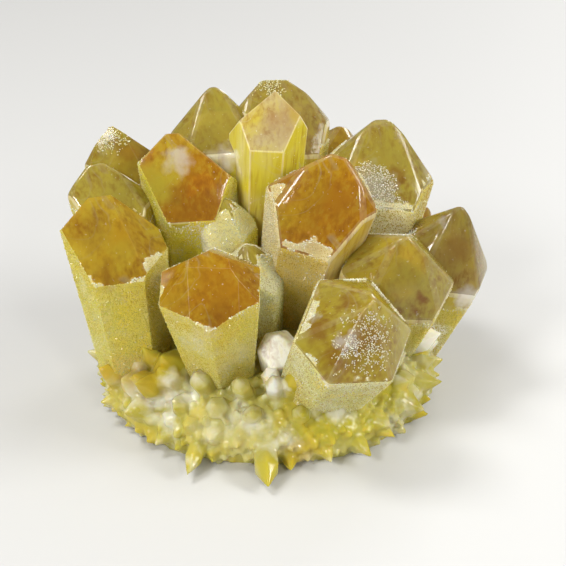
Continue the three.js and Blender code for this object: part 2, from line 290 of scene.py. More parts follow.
POINT_ROWS = [
    dict(count=54, height=2.2, rise=(-4, 14), length=(10.5, 13.8), half=(1.6, 2.5)),
    dict(count=48, height=5.5, rise=(8, 28), length=(10, 13.4), half=(1.7, 2.7)),
    dict(count=40, height=9, rise=(22, 46), length=(10, 13.5), half=(1.8, 3)),
    dict(count=28, height=12, rise=(40, 66), length=(12, 17), half=(2.2, 3.6)),
]
POINT_DEPTH = 8
POINT_SHOULDER = 0.72
POINT_WANDER = 5
POINT_SEED = 41

LARGE_POINTS = [
    ((0.5, -48.8, 2.4), (-1, -28, 7), 3.2),
    ((-18.5, -43.8, 2.4), (-14, -26, 7), 2.3),
    ((-31.5, -28.5, 18.5), (-20, -16, 8), 3.2),
    ((-25, -25, 24), (-18, -12, 5), 5.2),
    ((-34.5, -28.5, 10), (-22, -16, 6), 3.4),
    ((-46, -3.5, 13), (-28, -1, 6), 3),
    ((-41.5, -18, 6.5), (-24, -9, 6), 3.1),
    ((38.5, -23, 7.5), (22, -12, 7), 3.9),
    ((43.5, -14.5, 10.5), (24, -8, 6), 3.3),
    ((43.5, -2, 15), (26, 0, 8), 4),
    ((31, -31.5, 5), (18, -18, 6), 2.2),
    ((25, -37.5, 3.2), (16, -22, 6), 2.1),
    ((15.5, -40, 3.2), (10, -24, 6), 2.1),
    ((-41, -19, 17), (-30, -9, 6), 3.4),
    ((-35, -24.5, 17), (-26, -12, 6), 3.6),
    ((-27, -33, 3.6), (-17, -19, 6), 2.5),
    ((47, 8, 11), (28, 6, 6), 3.4),
    ((-46, 12, 9), (-28, 8, 6), 3.3),
    ((30, 45, 8), (18, 26, 6), 3.6),
    ((-33, 43, 7), (-20, 26, 6), 3.4),
    ((4, 50, 6), (2, 30, 6), 3.5),
]

# White points between the crystals: tip, foot and half width.
WHITE_POINTS = [
    ((43, -8, 20.5), (30, 0, 12), 3.4),
    ((0, -33, 22), (2.5, -22, 18), 2.2),
    ((-14, 6, 44), (-12, 9, 30), 3),
]

# Finer points that fill the gaps between the small ones.
FINE_COUNT = 1300
FINE_LOWEST = 1.2
FINE_HALF = (0.8, 1.8)
FINE_SHOWING = (0.4, 2.6)
FINE_DEPTH = 3
FINE_TILT = 24
FINE_SEED = 11
GOLDEN = math.pi * (3 - math.sqrt(5))


class SeededRandom:
    """Numbers from 0 to 1 that are the same in every run, as in the solid."""

    def __init__(self, seed):
        self.state = seed

    def __call__(self):
        self.state = (self.state * 1664525 + 1013904223) % 4294967296
        return self.state / 4294967296

    def between(self, limits):
        return limits[0] + (limits[1] - limits[0]) * self()


# ---------------------------------------------------------------- settings
def length(name, description, value):
    return bpy.props.FloatProperty(name=name, description=description, default=value, unit="LENGTH")


def colour(name, description, value):
    return bpy.props.FloatVectorProperty(
        name=name, description=description, subtype="COLOR", size=3, min=0, max=1, default=value)


class QuartzSizes(bpy.types.PropertyGroup):
    point_round: bpy.props.FloatProperty(
        name="Point edge rounding", description="Worn band on a small point, as a share of its width",
        default=0.025, min=0, max=0.3)
    melt_size: length("Base detail", "Size of the faces where the small points run together",
                      0.5 * MM)
    grain_size: length("Grain size", "Width of a druse grain", 0.4 * MM)
    grain_spacing: length("Grain spacing", "Least distance between two druse grains", 0.33 * MM)
    crust_ragged: length("Crust raggedness", "How far the druse's upper edge wanders", 1.6 * MM)
    camera_distance: length("Camera distance", "From the camera to the cluster's foot", 0.4)
    camera_rise: bpy.props.FloatProperty(
        name="Camera rise", description="Angle of the camera above the horizon",
        default=math.radians(27), subtype="ANGLE")


class QuartzColours(bpy.types.PropertyGroup):
    amber: colour("Amber", "Golden caps", (0.60, 0.37, 0.014))
    honey: colour("Honey", "Light that shines through golden caps", (0.70, 0.53, 0.04))
    orange: colour("Orange", "Deepest caps", (0.54, 0.26, 0.009))
    olive: colour("Olive", "Caps of the yellow-green crystals", (0.52, 0.43, 0.06))
    brown: colour("Brown", "Smoky caps", (0.52, 0.40, 0.09))
    umber: colour("Umber", "The darkest clear cap", (0.48, 0.35, 0.02))
    # Pale also paints the light's reflection on the front cap face of tall_middle.
    pale: colour("Pale", "Nearly white caps", (0.54, 0.45, 0.22))
    # Rust also paints the shade on the dark druse grains.
    rust: colour("Rust", "Streaks inside the caps", (0.26, 0.085, 0.005))
    milky: colour("Milky", "White patches", (0.93, 0.92, 0.84))
    straw: colour("Straw", "Sides under the druse", (0.57, 0.46, 0.06))
    russet: colour("Russet", "Darker sides under the druse", (0.62, 0.45, 0.08))
    sage: colour("Sage", "Greener sides under the druse", (0.58, 0.54, 0.20))
    lemon: colour("Lemon", "Bright yellow sides", (0.64, 0.55, 0.045))
    base: colour("Base", "The small points and the feet", (0.62, 0.57, 0.15))
    moss: colour("Moss", "Deeper yellow-green in the base", (0.50, 0.44, 0.045))
    sugar: colour("Sugar", "White edge of the druse", (0.86, 0.84, 0.66))


def sizes():
    return bpy.context.scene.quartz_sizes


def colours():
    return bpy.context.scene.quartz_colours


# ---------------------------------------------------------------- modelling helpers
def deselect():
    if bpy.context.mode != "OBJECT":
        bpy.ops.object.mode_set(mode="OBJECT")
    bpy.ops.object.select_all(action="DESELECT")


def select_only(piece):
    deselect()
    piece.select_set(True)
    bpy.context.view_layer.objects.active = piece


@contextmanager
def editing():
    """Edit mode, for the lines under it."""
    bpy.ops.object.mode_set(mode="EDIT")
    yield
    bpy.ops.object.mode_set(mode="OBJECT")


def apply_modifiers(piece):
    select_only(piece)
    for modifier in list(piece.modifiers):
        bpy.ops.object.modifier_apply(modifier=modifier.name)


def apply_place(piece):
    select_only(piece)
    bpy.ops.object.transform_apply(location=True, rotation=True, scale=True)


def remove(piece):
    mesh = piece.data
    bpy.data.objects.remove(piece)
    bpy.data.meshes.remove(mesh)


def mark_faces(piece, name, value):
    """Gives every face of a piece the same whole number."""
    marks = piece.data.attributes.new(name, "INT", "FACE")
    marks.data.foreach_set("value", [value] * len(piece.data.polygons))


def join_solids(piece, others):
    """Joins the other closed meshes to the piece, in one body, and removes them."""
    together = bpy.data.collections.new("Together")
    bpy.context.scene.collection.children.link(together)
    for other in others:
        together.objects.link(other)
    union = piece.modifiers.new("Join", "BOOLEAN")
    union.operation = "UNION"
    union.solver = "MANIFOLD"
    union.operand_type = "COLLECTION"
    union.collection = together
    apply_modifiers(piece)
    for other in others:
        remove(other)
    bpy.data.collections.remove(together)


def round_edges(piece, width, segments=3, angle=12):
    bevel = piece.modifiers.new("Rounding", "BEVEL")
    bevel.width = width
    bevel.segments = segments
    bevel.limit_method = "ANGLE"
    bevel.angle_limit = math.radians(angle)
    bevel.use_clamp_overlap = True
    apply_modifiers(piece)


def finish_piece(piece):
    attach(piece, BODY)
    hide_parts(NODE)


def cut_away(place, normal):
    """In edit mode, cuts off what lies beyond a plane and closes the cut."""
    bpy.ops.mesh.select_all(action="SELECT")
    bpy.ops.mesh.bisect(plane_co=place, plane_no=normal, use_fill=True, clear_outer=True,
                        threshold=1e-7)


# ---------------------------------------------------------------- the joined crystals
def cut_crystal(crystal, number):
    """A block cut down to a crystal by one bisection for each face, then rounded at its edges."""
    deselect()
    middle = (crystal.tip + crystal.foot) / 2 * MM
    block = (crystal.tip - crystal.foot).length * 3 * MM
    bpy.ops.mesh.primitive_cube_add(size=block, location=middle)
    piece = bpy.context.object
    piece.name = crystal.name
    apply_place(piece)
    with editing():
        for point, normal in crystal.planes():
            cut_away(point * MM, normal)
        bpy.ops.mesh.select_all(action="SELECT")
        bpy.ops.mesh.remove_doubles(threshold=1e-6)
        bpy.ops.mesh.normals_make_consistent(inside=False)
    round_edges(piece, crystal.worn * MM)
    mark_faces(piece, "crystal", number)
    return piece


def lumpy(angle, height):
    lump = 1
    for waves in LUMP_WAVES:
        lump += LUMP_DEPTH * math.sin(waves * angle + height * waves / 20) / len(LUMP_WAVES)
    return lump


def make_mass():
    """The low mass: a disc extruded ring by ring up its profile, then made lumpy."""
    deselect()
    first = MASS_PROFILE[0][0]
    bpy.ops.mesh.primitive_circle_add(vertices=MASS_SEGMENTS, radius=first * MM, fill_type="NGON")
    piece = bpy.context.object
    piece.name = "mass"
    with editing():
        bpy.ops.mesh.select_all(action="SELECT")
        for (radius, height), (after, above) in zip(MASS_PROFILE, MASS_PROFILE[1:]):
            rise = Vector((0, 0, (above - height) * MM))
            bpy.ops.mesh.extrude_region_move(TRANSFORM_OT_translate={"value": rise})
            share = max(after / radius, LEAST_SHARE)
            bpy.ops.transform.resize(value=(share, share, 1))
        bpy.ops.mesh.select_all(action="SELECT")
        bpy.ops.mesh.normals_make_consistent(inside=False)
    for vertex in piece.data.vertices:
        place = vertex.co
        if place.z <= 0:
            place.z = -MASS_SUNK * MM
        lump = lumpy(math.atan2(place.y, place.x), place.z / MM)
        place.x = place.x * lump * MASS_STRETCH[0] + (MASS_MIDDLE.x + MIDDLE_SHIFT.x) * MM
        place.y = place.y * lump * MASS_STRETCH[1] + (MASS_MIDDLE.y + MIDDLE_SHIFT.y) * MM
    return piece


def melt(piece):
    """Runs the small points together, like watery quartz."""
    remesh = piece.modifiers.new("Melt", "REMESH")
    remesh.mode = "VOXEL"
    remesh.voxel_size = sizes().melt_size
    soften = piece.modifiers.new("Soften", "SMOOTH")
    soften.factor = 0.5
    soften.iterations = 1
    apply_modifiers(piece)
    mark_faces(piece, "crystal", MASS_MARK)


def model_point():
    """A six-sided point of unit half width and length: its upper part is drawn in to the tip."""
    deselect()
    bpy.ops.mesh.primitive_cylinder_add(vertices=SIDE_COUNT, radius=1, depth=POINT_SHOULDER,
                                        location=(0, 0, POINT_SHOULDER / 2))
    piece = bpy.context.object
    piece.name = "small_point"
    apply_place(piece)
    with editing():
        bpy.ops.mesh.select_mode(type="FACE")
        bpy.ops.mesh.select_all(action="DESELECT")
    for face in piece.data.polygons:
        face.select = face.normal.z > 0.9
    top = (0, 0, 1 - POINT_SHOULDER)
    with editing():
        bpy.ops.mesh.extrude_region_move(TRANSFORM_OT_translate={"value": top})
        bpy.ops.mesh.merge(type="CENTER")
    round_edges(piece, sizes().point_round, segments=1, angle=8)
    return piece


def stand_point(model, tip, foot, half, turn, mark=MASS_MARK):
    """A copy of the small point, stretched from its foot to its tip."""
    piece = model.copy()
    piece.data = model.data.copy()
    mark_faces(piece, "crystal", mark)
    bpy.context.collection.objects.link(piece)
    along = (tip - foot).normalized()
    front = Vector((0, -1, 0))
    front = (front - along * front.dot(along)).normalized()
    right = along.cross(front)
    length = (tip - foot).length
    for vertex in piece.data.vertices:
        spoke = math.atan2(vertex.co.y, vertex.co.x) + turn
        reach = math.hypot(vertex.co.x, vertex.co.y) * half
        place = foot + along * (vertex.co.z * length)
        place += (front * math.cos(spoke) + right * math.sin(spoke)) * reach
        vertex.co = (place + MIDDLE_SHIFT) * MM
    return piece


def leaning(heading, rise):
    """The direction of a point that heads outwards and rises at these angles."""
    level = math.cos(rise)
    return Vector((math.cos(heading) * level, math.sin(heading) * level, math.sin(rise)))


def on_mass(radius, angle, height):
    return Vector((radius * math.cos(angle) * MASS_STRETCH[0],
                   radius * math.sin(angle) * MASS_STRETCH[1], height)) + MASS_MIDDLE


def fine_places():
    """Tip, foot, half width and turn of every finer point, spread evenly over the mass."""
    random = SeededRandom(FINE_SEED)
    rings = list(zip(MASS_PROFILE, MASS_PROFILE[1:]))
    areas = [(low[0] + high[0]) * math.hypot(high[0] - low[0], high[1] - low[1])
             for low, high in rings]
    tilt = math.radians(FINE_TILT)
    for i in range(FINE_COUNT):
        share = (i + random()) / FINE_COUNT * sum(areas)
        ring = 0
        while share > areas[ring]:
            share -= areas[ring]
            ring += 1
        low, high = rings[ring]
        up = share / areas[ring]
        height = max(FINE_LOWEST, low[1] + (high[1] - low[1]) * up)
        angle = i * GOLDEN
        heading = angle + tilt * (2 * random() - 1)
        rise = math.atan2(low[0] - high[0], high[1] - low[1]) + tilt * (2 * random() - 1)
        along = leaning(heading, rise)
        surface = on_mass(low[0] + (high[0] - low[0]) * up, angle, height)
        tip = surface + along * random.between(FINE_SHOWING)
        yield tip, surface - along * FINE_DEPTH, random.between(FINE_HALF), random() * math.pi


def mass_radius(height):
    for (outer, low), (inner, high) in zip(MASS_PROFILE, MASS_PROFILE[1:]):
        if low <= height < high:
            return outer + (inner - outer) * (height - low) / (high - low)
    raise ValueError(f"the mass has no side at height {height}")


def row_places(row, random):
    """Tip, foot, half width and turn of every point in a row."""
    radius = mass_radius(row["height"]) - POINT_DEPTH
    wander = math.radians(POINT_WANDER)
    for i in range(row["count"]):
        angle = 2 * math.pi * i / row["count"] + wander * (2 * random() - 1)
        heading = angle + wander * 2 * (2 * random() - 1)
        rise = math.radians(random.between(row["rise"]))
        foot = on_mass(radius, angle, row["height"])
        tip = foot + leaning(heading, rise) * random.between(row["length"])
        half = random.between(row["half"])
        yield tip, foot, half, random() * math.pi


# Where the druse starts at a crystal's shoulder, in millimetres.
SIDE_LEAD = 1.4        # how much deeper in the druse a side counts
CAP_LAG = 0.4          # and how much less deep a cap face
FACET_LAG = 2
SMOOTH_DEPTH = -3      # for a side with no druse
FACET_SLOPE = 1.5      # degrees by which a facet's slope differs from the cap's

# How far a colour goes towards sugar white.
HOARY = 0.4
PALER = 0.3
# On rounded edges: partly frosted wear, partly a painted highlight along the edge.
EDGE_WEAR_AND_SHEEN_SIDE = 0.4
EDGE_WEAR_AND_SHEEN_CAP = 0.12

RIM_SHARE = 0.6        # how far the base's colour goes towards straw at its rim
BASE_CLEAR = 0.3       # how see-through the base is
SIDE_CLEAR = 0.5       # how see-through a side is, as a share of its cap


def fade(value, span):
    """From 0 to 1 as the value rises from nothing to the span."""
    return min(1, max(0, value / span))


def base_corner(place, white):
    """The attributes of a corner on the base, or on one of the white points."""
    tone = colours()
    outer = fade(math.hypot(place.x, place.y) - RIM_START, RIM_FADE)
    shade = Vector(tone.base).lerp(Vector(tone.straw), outer * RIM_SHARE)
    glow = Vector(tone.moss)
    if white:
        shade = glow = Vector(tone.milky)
    return dict(crust=[BARE_BASE], clear=[0.0 if white else BASE_CLEAR], milk=[1.0], glitter=[0.0],
                local=place * MM, shade=[*shade, 1], glow=[*glow, 1], grains=[*shade, 1])


class CrystalFace:
    """What the corners of one face of a crystal share."""

    def __init__(self, crystal, normal):
        tone = colours()
        sugar = Vector(tone.sugar)
        own = Vector(getattr(tone, crystal.side))
        slope = math.degrees(math.acos(max(-1, min(1, normal.dot(crystal.along)))))
        self.crystal = crystal
        self.side = crystal.side_of(normal)
        self.on_side = slope > SIDE_SLOPE
        self.on_facet = not self.on_side and abs(slope - crystal.slope) > FACET_SLOPE
        if self.on_side:
            self.shade = own.lerp(sugar, HOARY) if self.side in crystal.hoary else own
            self.glow = self.shade.lerp(sugar, PALER)
            self.grains = self.shade
        else:
            lit = self.side in crystal.lit
            self.shade = Vector(getattr(tone, crystal.glow if lit else crystal.cap))
            self.glow = Vector(getattr(tone, crystal.glow))
            self.grains = own.lerp(sugar, PALER)
        # A face on a rounded edge is paler: partly frosted wear, partly a painted highlight along the
        # edge.
        if crystal.is_worn(normal):
            worn = EDGE_WEAR_AND_SHEEN_SIDE if self.on_side else EDGE_WEAR_AND_SHEEN_CAP
            self.shade = self.shade.lerp(sugar, worn)
            self.glow = self.glow.lerp(sugar, worn)

    def druse_depth(self, below):
        """How far inside the druse a place lies that is so far below its cap face's lower end."""
        crystal = self.crystal
        inside = below - crystal.bare + crystal.creep + (SIDE_LEAD if self.on_side else -CAP_LAG)
        if self.on_facet:
            inside -= FACET_LAG
        if self.side in crystal.smooth:
            inside = min(inside, SMOOTH_DEPTH)
        return inside * MM

    def corner(self, place):
        crystal = self.crystal
        base = Vector(colours().base)
        from_tip = crystal.tip - place
        depth = from_tip.dot(crystal.along)
        low = fade(FEET_TOP - place.z, FEET_FADE) * FEET_SHARE
        local = Vector((from_tip.dot(crystal.right), from_tip.dot(crystal.front), depth))
        return dict(crust=[self.druse_depth(depth - crystal.edge_depth(self.side))],
                    clear=[crystal.clear * (SIDE_CLEAR if self.on_side else 1)], milk=[low],
                    glitter=[crystal.glitter], local=local * MM,
                    shade=[*self.shade.lerp(base, low), 1], glow=[*self.glow.lerp(base, low), 1],
                    grains=[*self.grains.lerp(base, low), 1])


NUMBER = ("FLOAT", "value")
COLOUR = ("FLOAT_COLOR", "color")
CORNER_LAYERS = dict(crust=NUMBER, clear=NUMBER, milk=NUMBER, glitter=NUMBER,
                     local=("FLOAT_VECTOR", "vector"), shade=COLOUR, glow=COLOUR, grains=COLOUR)


def corner_attributes(piece):
    """Gives each face corner how far it lies inside the druse, its place on its own crystal, how
    see-through it is, how milky, how strongly painted glints and painted shade speckle its druse,
    the colour of its cap or side, the colour that glows through it and the colour of the grains on
    it."""
    mesh = piece.data
    number = [0] * len(mesh.polygons)
    mesh.attributes["crystal"].data.foreach_get("value", number)
    found = {name: [] for name in CORNER_LAYERS}
    for polygon in mesh.polygons:
        mark = number[polygon.index]
        face = CrystalFace(CRYSTALS[mark], polygon.normal) if mark < len(CRYSTALS) else None
        for corner in polygon.loop_indices:
            place = mesh.vertices[mesh.loops[corner].vertex_index].co / MM
            here = face.corner(place) if face else base_corner(place, mark == WHITE_MARK)
            for name, values in here.items():
                found[name].extend(values)
    for name, (kind, field) in CORNER_LAYERS.items():
        mesh.attributes.new(name, kind, "CORNER").data.foreach_set(field, found[name])


LEAST_FACES = 5000
SMOOTH_ANGLE = 24


class QUARTZ_OT_crystals(bpy.types.Operator):
    """Cut the crystals, the mass and its small points, and join them in one solid"""

    bl_idname = "quartz.crystals"
    bl_label = "Crystals"

    def execute(self, context):
        piece = make_mass()
        parts = [cut_crystal(crystal, number) for number, crystal in enumerate(CRYSTALS)]
        random = SeededRandom(POINT_SEED)
        places = [place for row in POINT_ROWS for place in row_places(row, random)]
        for tip, foot, half in LARGE_POINTS:
            places.append((Vector(tip), Vector(foot), half, random() * math.pi))
        places.extend(fine_places())
        model = model_point()
        join_solids(piece, [stand_point(model, *place) for place in places])
        melt(piece)
        for tip, foot, half in WHITE_POINTS:
            parts.append(stand_point(model, Vector(tip), Vector(foot), half, random(), WHITE_MARK))
        remove(model)
        join_solids(piece, parts)
        select_only(piece)
        with editing():
            cut_away((0, 0, 0), (0, 0, -1))
        piece.name = "crystals"
        piece.data.name = "crystals"
        if len(piece.data.polygons) < LEAST_FACES:
            raise RuntimeError("the crystals didn't join")
        corner_attributes(piece)
        select_only(piece)
        bpy.ops.object.shade_smooth_by_angle(angle=math.radians(SMOOTH_ANGLE))
        piece.data.materials.clear()
        piece.data.materials.append(quartz_finish())
        finish_piece(piece)
        return {"FINISHED"}


# ---------------------------------------------------------------- the druse
GRAIN_SIDES = 5
GRAIN_DEPTH = 0.9              # a grain's length, as a share of its width
GRAIN_MIDDLE = 0.15            # how high its middle stands, as a share too
GRAIN_LEAN = 0.8               # radians, to either side
GRAIN_RANGE = (0.75, 1.5)      # the smallest and the largest, as shares of the usual size
GRAIN_DENSITY = 1.2e7          # grains on a square metre, before those too close are dropped
GRAIN_SEEDS = (7, 3, 5)        # for their places, leans and sizes
RIM_WIDTH = 1.3 * MM           # grains are larger this close to the druse's edge
RIM_GROWTH = 1.3
COARSE_NOISE = 110             # scale of the waves in the druse's edge
FINE_NOISE = 700               # scale of the teeth in it
COARSE_WANDER = 9              # how much further the waves reach than the teeth
SPARKLE_NOISE = 900            # scale of the gaps in a sparkling patch
SPARKLE_LEVEL = 0.56           # the noise below which a sparkling patch has a gap


def model_grain():
    """One druse grain: a stubby five-sided point of unit size, standing on the surface."""
    deselect()
    bpy.ops.mesh.primitive_cone_add(vertices=GRAIN_SIDES, radius1=0.5, depth=GRAIN_DEPTH,
                                    location=(0, 0, GRAIN_MIDDLE))
    piece = bpy.context.object
    piece.name = "grain"
    apply_place(piece)
    return piece


def fill(tree, socket, value):
    """Gives a socket a value, or links another socket to it."""
    if isinstance(value, bpy.types.NodeSocket):
        tree.links.new(value, socket)
    else:
        socket.default_value = value


def add_node(tree, kind, inputs=(), **settings):
    """A node with its settings made, and its inputs filled by name or by number."""
    node = tree.nodes.new(kind)
    for name, value in settings.items():
        setattr(node, name, value)
    for name, value in dict(inputs).items():
        fill(tree, node.inputs[name], value)
    return node


def add_math(tree, operation, *values):
    return add_node(tree, "ShaderNodeMath", enumerate(values), operation=operation).outputs[0]


def add_range(tree, value, low, high, to_low=0.0, to_high=1.0):
    """A number brought from one span to another, and held within it."""
    numbers = enumerate((value, low, high, to_low, to_high))
    return add_node(tree, "ShaderNodeMapRange", numbers).outputs[0]


def add_noise(tree, place, scale, detail=3, roughness=0.5, distortion=0, output="Fac"):
    inputs = {"Vector": place, "Scale": scale, "Detail": detail, "Roughness": roughness,
              "Distortion": distortion}
    return add_node(tree, "ShaderNodeTexNoise", inputs).outputs[output]


def add_distance(tree, place, middle, shift=0):
    """How far a place lies from a middle, which is in millimetres and moved by the shift."""
    point = (Vector(middle) + MIDDLE_SHIFT) * MM + Vector((shift, shift, shift))
    away = add_node(tree, "ShaderNodeVectorMath", {0: place, 1: point}, operation="DISTANCE")
    return away.outputs["Value"]


def druse_reach(tree, crust, place):
    """How far inside the druse a place lies, in metres, with its ragged edge. The grains and the
    finish beneath them both use it."""
    coarse = add_math(tree, "SUBTRACT", add_noise(tree, place, COARSE_NOISE, 2), 0.5)
    fine = add_math(tree, "SUBTRACT", add_noise(tree, place, FINE_NOISE), 0.5)
    ragged = sizes().crust_ragged
    wander = add_math(tree, "MULTIPLY_ADD", coarse, ragged * COARSE_WANDER, crust)
    return add_math(tree, "MULTIPLY_ADD", fine, ragged, wander)


def sparkle_reach(tree, place):
    """How far inside a sparkling patch a place lies, in metres, and how white the patch is."""
    noise = add_math(tree, "SUBTRACT", add_noise(tree, place, SPARKLE_NOISE, 2), SPARKLE_LEVEL)
    reach = whiteness = None
    for middle, radius, gaps, white in SPARKLING:
        within = add_math(tree, "SUBTRACT", radius * MM, add_distance(tree, place, middle))
        shown = add_math(tree, "MULTIPLY", add_math(tree, "GREATER_THAN", within, 0.0), white)
        within = add_math(tree, "MULTIPLY_ADD", noise, gaps * MM, within)
        reach = within if reach is None else add_math(tree, "MAXIMUM", reach, within)
        whiteness = shown if whiteness is None else add_math(tree, "MAXIMUM", whiteness, shown)
    return reach, whiteness


def store_number(tree, points, name, value):
    """Stores a number on the points, for the finish to read."""
    inputs = {"Geometry": points, "Name": name, "Value": value}
    return add_node(tree, "GeometryNodeStoreNamedAttribute", inputs, data_type="FLOAT",
                    domain="POINT").outputs[0]


def random_value(tree, kind, index, low, high, seed):
    """A random value of a kind, whose sockets start at twice the kind's index."""
    inputs = {index * 2: low, index * 2 + 1: high, "Seed": seed}
    return add_node(tree, "FunctionNodeRandomValue", inputs, data_type=kind).outputs[index]


def grain_tree(grain):
    """Geometry nodes that scatter grains where the druse grows and make them real."""
    tree = bpy.data.node_groups.new("Druse", "GeometryNodeTree")
    for way in ("INPUT", "OUTPUT"):
        tree.interface.new_socket("Geometry", in_out=way, socket_type="NodeSocketGeometry")
    entry = add_node(tree, "NodeGroupInput")
    crust = add_node(tree, "GeometryNodeInputNamedAttribute", {"Name": "crust"},
                     data_type="FLOAT").outputs["Attribute"]
    place = add_node(tree, "GeometryNodeInputPosition").outputs[0]
    druse = druse_reach(tree, crust, place)
    sparkle, white = sparkle_reach(tree, place)
    reach = add_math(tree, "MAXIMUM", druse, sparkle)
    outside = add_math(tree, "LESS_THAN", druse, 0.0)
    rim = add_math(tree, "MULTIPLY_ADD", outside, 2 * MM, add_math(tree, "MAXIMUM", druse, 0.0))
    frost = add_math(tree, "MULTIPLY", outside, white)
    scatter = add_node(tree, "GeometryNodeDistributePointsOnFaces", {
        "Mesh": entry.outputs[0],
        "Distance Min": sizes().grain_spacing,
        "Density Max": GRAIN_DENSITY,
        "Density Factor": add_math(tree, "GREATER_THAN", crust, BARE_BASE / 2),
        "Seed": GRAIN_SEEDS[0],
    }, distribute_method="POISSON")
    bare = add_node(tree, "GeometryNodeDeleteGeometry", {
        "Geometry": scatter.outputs["Points"],
        "Selection": add_math(tree, "LESS_THAN", reach, 0.0),
    }, domain="POINT")
    points = store_number(tree, bare.outputs[0], "rim", rim)
    points = store_number(tree, points, "frost", frost)
    shape = add_node(tree, "GeometryNodeObjectInfo", {"Object": grain})
    most = Vector((GRAIN_LEAN, GRAIN_LEAN, 3.14))
    lean = random_value(tree, "FLOAT_VECTOR", 0, -most, most, GRAIN_SEEDS[1])
    turn = add_node(tree, "FunctionNodeRotateRotation", {0: scatter.outputs["Rotation"], 1: lean},
                    rotation_space="LOCAL")
    least, largest = (sizes().grain_size * share for share in GRAIN_RANGE)
    size = random_value(tree, "FLOAT", 1, least, largest, GRAIN_SEEDS[2])
    larger = add_range(tree, rim, 0, RIM_WIDTH, RIM_GROWTH, 1)
    stand = add_node(tree, "GeometryNodeInstanceOnPoints", {
        "Points": points,
        "Instance": shape.outputs["Geometry"],
        "Rotation": turn.outputs[0],
        "Scale": add_math(tree, "MULTIPLY", size, larger),
    })
    real = add_node(tree, "GeometryNodeRealizeInstances", {0: stand.outputs[0]})
    add_node(tree, "NodeGroupOutput", {0: real.outputs[0]})
    return tree


class QUARTZ_OT_druse(bpy.types.Operator):
    """Grow druse grains on the crystals' sides"""

    bl_idname = "quartz.druse"
    bl_label = "Druse"

    def execute(self, context):
        crystals = bpy.data.objects["crystals"]
        grain = model_grain()
        crust = crystals.copy()
        crust.data = crystals.data.copy()
        bpy.context.collection.objects.link(crust)
        crust.name = "druse"
        grow = crust.modifiers.new("Grow", "NODES")
        grow.node_group = grain_tree(grain)
        apply_modifiers(crust)
        remove(grain)
        crust.data.name = "druse"
        if not crust.data.polygons:
            raise RuntimeError("no druse grew")
        crust.data.materials.clear()
        crust.data.materials.append(druse_finish())
        halves = [crust]
        for axis in (0, 1, 2):
            for piece in list(halves):
                halves.append(split_piece(piece, axis))
        for number, piece in enumerate(halves):
            piece.name = f"druse_{number + 1}"
            piece.data.name = piece.name
            finish_piece(piece)
        return {"FINISHED"}


def split_piece(piece, axis):
    """Moves what lies beyond the middle on one axis to a piece of its own, whole grains at a time."""
    select_only(piece)
    with editing():
        bpy.ops.mesh.select_all(action="DESELECT")
    values = sorted(vertex.co[axis] for vertex in piece.data.vertices)
    middle = values[len(values) // 2]
    for vertex in piece.data.vertices:
        vertex.select = vertex.co[axis] > middle
    with editing():
        bpy.ops.mesh.select_mode(type="VERT")
        bpy.ops.mesh.select_linked()
        bpy.ops.mesh.separate(type="SELECTED")
    others = [o for o in bpy.context.selected_objects if o != piece]
    return others[0]


# ---------------------------------------------------------------- finishes
STAIN_NOISE = 260          # scale of the noise that pulls the edge of a patch about
STAIN_WANDER = 9 * MM      # and how far it pulls
STAIN_CORE = 0.35          # how far a patch has its full strength, as a share of its reach
QUARTZ_IOR = 1.544


class Finish:
    """A small helper that lays out a material's nodes."""

    def __init__(self, name):
        self.material = bpy.data.materials.new(name)
        self.material.use_nodes = True
        self.tree = self.material.node_tree
        self.shader = self.tree.nodes["Principled BSDF"]
        self.place = add_node(self.tree, "ShaderNodeTexCoord").outputs["Object"]

    def carried(self, name, output="Fac"):
        """What the mesh carries under this name."""
        return add_node(self.tree, "ShaderNodeAttribute", attribute_name=name).outputs[output]

    def noise(self, place, scale, **options):
        return add_noise(self.tree, place, scale, **options)

    def math(self, operation, *values):
        return add_math(self.tree, operation, *values)

    def range(self, value, *limits):
        return add_range(self.tree, value, *limits)

    def mix(self, share, first, second):
        """A mix of two colours, each a socket, the name of a setting or three numbers."""
        inputs = {0: share}
        for index, value in ((6, first), (7, second)):
            if isinstance(value, str):
                value = getattr(colours(), value)
            inputs[index] = value if isinstance(value, bpy.types.NodeSocket) else (*value, 1)
        return add_node(self.tree, "ShaderNodeMix", inputs, data_type="RGBA").outputs[2]

    def stain(self, colour, stains):
        """Blends ragged patches into a colour, each round its own middle."""
        wander = self.noise(self.place, STAIN_NOISE, detail=4, output="Color")
        inputs = {0: wander, 1: (STAIN_WANDER,) * 3, 2: self.place}
        moved = add_node(self.tree, "ShaderNodeVectorMath", inputs, operation="MULTIPLY_ADD")
        for middle, reach, name, strength in stains:
            away = add_distance(self.tree, moved.outputs[0], middle, STAIN_WANDER / 2)
            share = self.range(away, reach * MM, reach * STAIN_CORE * MM, 0, strength)
            colour = self.mix(share, colour, name)
        return colour

    def set(self, **values):
        """Fills the shader's inputs."""
        for name, value in values.items():
            fill(self.tree, self.shader.inputs[name.replace("_", " ")], value)


